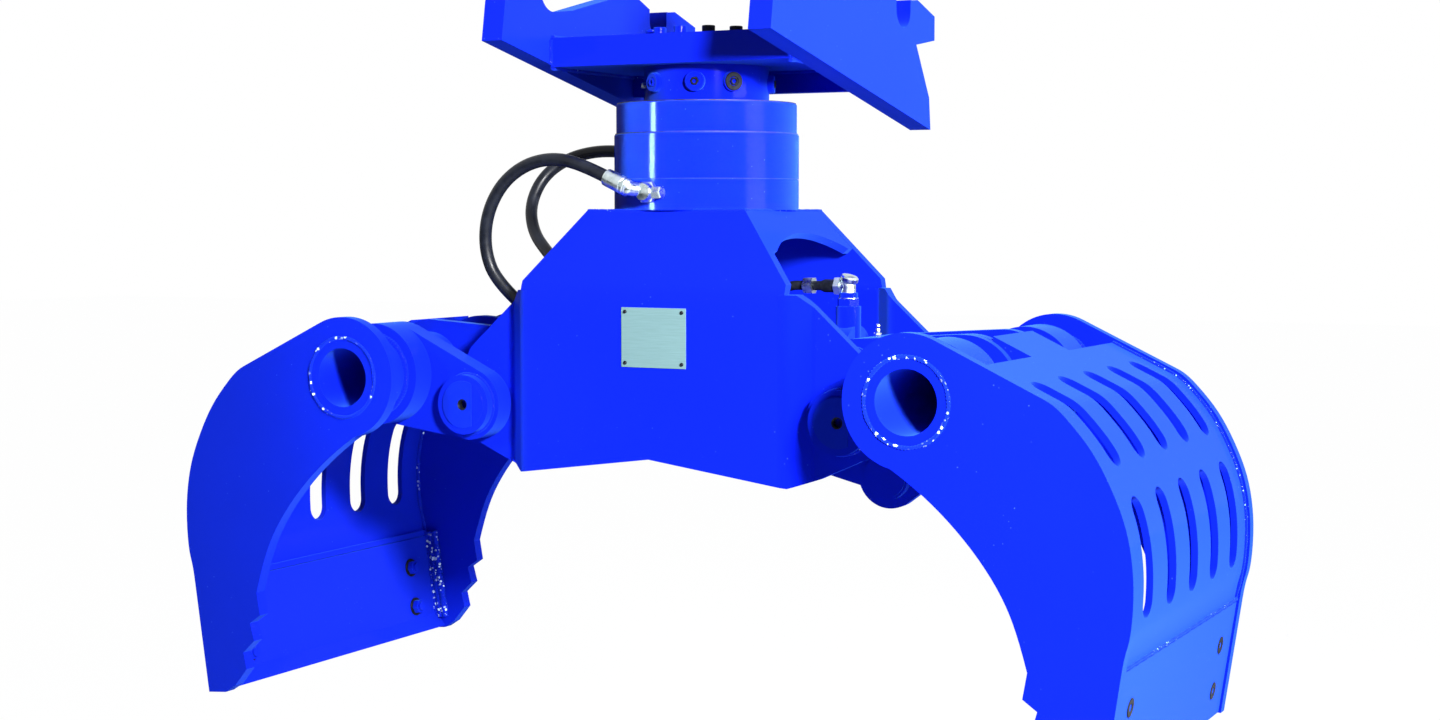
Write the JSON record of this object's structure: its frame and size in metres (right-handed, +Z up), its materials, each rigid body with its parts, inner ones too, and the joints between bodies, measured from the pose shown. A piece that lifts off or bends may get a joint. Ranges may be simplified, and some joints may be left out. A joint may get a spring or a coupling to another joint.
{
  "type": "rotating sorting grapple",
  "caption": "Hydraulic sorting grapple with perforated clamshell jaws, synchronised by a cylinder and cross rod, on a rotator under an open two-pin machine bracket.",
  "frame": {"origin": "on the slewing axis, at the top face of the grapple frame where the rotator housing stands", "axes": "+X from the left jaw to the right jaw, +Y to the rear of the machine bracket, +Z up along the slewing axis"},
  "size_m": [1.9646, 0.826, 1.4927],
  "materials": {
    "blue_paint": "gloss blue machine paint over welded plate",
    "machined_steel": "turned steel, lightly oiled",
    "chromed_rod": "hard chromed and ground",
    "zinc_fitting": "bright zinc plated",
    "black_steel": "satin black coated oil pipe",
    "bolt_steel": "high tensile steel, partly overpainted",
    "plate_aluminium": "bare aluminium plate without marks",
    "hose_rubber": "matt black hydraulic hose cover"
  },
  "bodies": {
    "bracket": {"adapter_base_plate": "blue_paint", "adapter_bolts": "bolt_steel", "adapter_rear_web": "blue_paint", "adapter_side_plate_left": "blue_paint", "adapter_side_plate_right": "blue_paint", "rotor_head": "blue_paint", "rotor_port_plugs": "zinc_fitting"},
    "frame": {"frame_front_plate": "blue_paint", "frame_pivot_hubs_left": "blue_paint", "frame_pivot_hubs_right": "blue_paint", "frame_rating_plate": "plate_aluminium", "frame_rear_plate": "blue_paint", "frame_slope_web_left": "blue_paint", "frame_slope_web_right": "blue_paint", "frame_top_plate": "blue_paint", "hose_block": "machined_steel", "hose_elbows": "zinc_fitting", "hose_end_fittings": "zinc_fitting", "hose_front": "hose_rubber", "hose_rear": "hose_rubber", "rotator_lower_ring": "blue_paint", "rotator_middle_ring": "blue_paint", "rotator_top_ring": "blue_paint"},
    "jaw_right": {"jaw_right_blade_nuts": "bolt_steel", "jaw_right_blade_plate": "blue_paint", "jaw_right_cutting_edge": "blue_paint", "jaw_right_cylinder_lugs": "blue_paint", "jaw_right_cylinder_pin": "blue_paint", "jaw_right_lever_front": "blue_paint", "jaw_right_lever_rear": "blue_paint", "jaw_right_pin_keepers": "bolt_steel", "jaw_right_pivot_pins": "blue_paint", "jaw_right_seam_bar": "blue_paint", "jaw_right_shell": "blue_paint", "jaw_right_side_plate_front": "blue_paint", "jaw_right_side_plate_rear": "blue_paint", "jaw_right_sync_lug": "blue_paint", "jaw_right_sync_pin": "blue_paint", "jaw_right_torque_tube": "blue_paint"},
    "jaw_left": {"jaw_left_blade_nuts": "bolt_steel", "jaw_left_blade_plate": "blue_paint", "jaw_left_cutting_edge": "blue_paint", "jaw_left_cylinder_lugs": "blue_paint", "jaw_left_cylinder_pin": "blue_paint", "jaw_left_lever_front": "blue_paint", "jaw_left_lever_rear": "blue_paint", "jaw_left_pin_keepers": "bolt_steel", "jaw_left_pivot_pins": "blue_paint", "jaw_left_seam_bar": "blue_paint", "jaw_left_shell": "blue_paint", "jaw_left_side_plate_front": "blue_paint", "jaw_left_side_plate_rear": "blue_paint", "jaw_left_torque_tube": "blue_paint"},
    "cylinder_body": {"cylinder_barrel": "blue_paint", "cylinder_gland": "machined_steel", "cylinder_port_elbow": "zinc_fitting", "cylinder_pipe": "black_steel"},
    "cylinder_piston": {"cylinder_rod": "chromed_rod", "cylinder_rod_eye": "blue_paint"},
    "sync_link": {"sync_rod": "blue_paint"}
  },
  "joints": [
    {"name": "rotator_spin", "type": "hinge", "parent": "bracket", "child": "frame", "pos_m": [0, 0, 0.1], "axis": [0, 0, 1], "continuous": true},
    {"name": "jaw_right_hinge", "type": "hinge", "parent": "frame", "child": "jaw_right", "pos_m": [0.4, 0, -0.378], "axis": [0, 1, 0], "range_deg": [0, 70.8]},
    {"name": "jaw_left_hinge", "type": "hinge", "parent": "frame", "child": "jaw_left", "pos_m": [-0.4, 0, -0.378], "axis": [0, -1, 0], "range_deg": [0, 70.8]},
    {"name": "barrel_hinge", "type": "hinge", "parent": "jaw_right", "child": "cylinder_body", "pos_m": [0.364, 0, -0.285], "axis": [0, -1, 0], "range_deg": [0, 70.8]},
    {"name": "rod_hinge", "type": "hinge", "parent": "jaw_left", "child": "cylinder_piston", "pos_m": [-0.364, 0, -0.285], "axis": [0, 1, 0], "range_deg": [0, 70.8]},
    {"name": "sync_link_hinge", "type": "hinge", "parent": "jaw_right", "child": "sync_link", "pos_m": [0.443, -0.13, -0.483], "axis": [0, -1, 0], "range_deg": [0, 75]}
  ],
  "couplings": [
    {"joint": "jaw_left_hinge", "follows": "jaw_right_hinge", "ratio": 1},
    {"joint": "barrel_hinge", "follows": "jaw_right_hinge", "ratio": 1},
    {"joint": "rod_hinge", "follows": "jaw_right_hinge", "ratio": 1},
    {"joint": "sync_link_hinge", "follows": "jaw_right_hinge", "ratio": 1.0525}
  ]
}
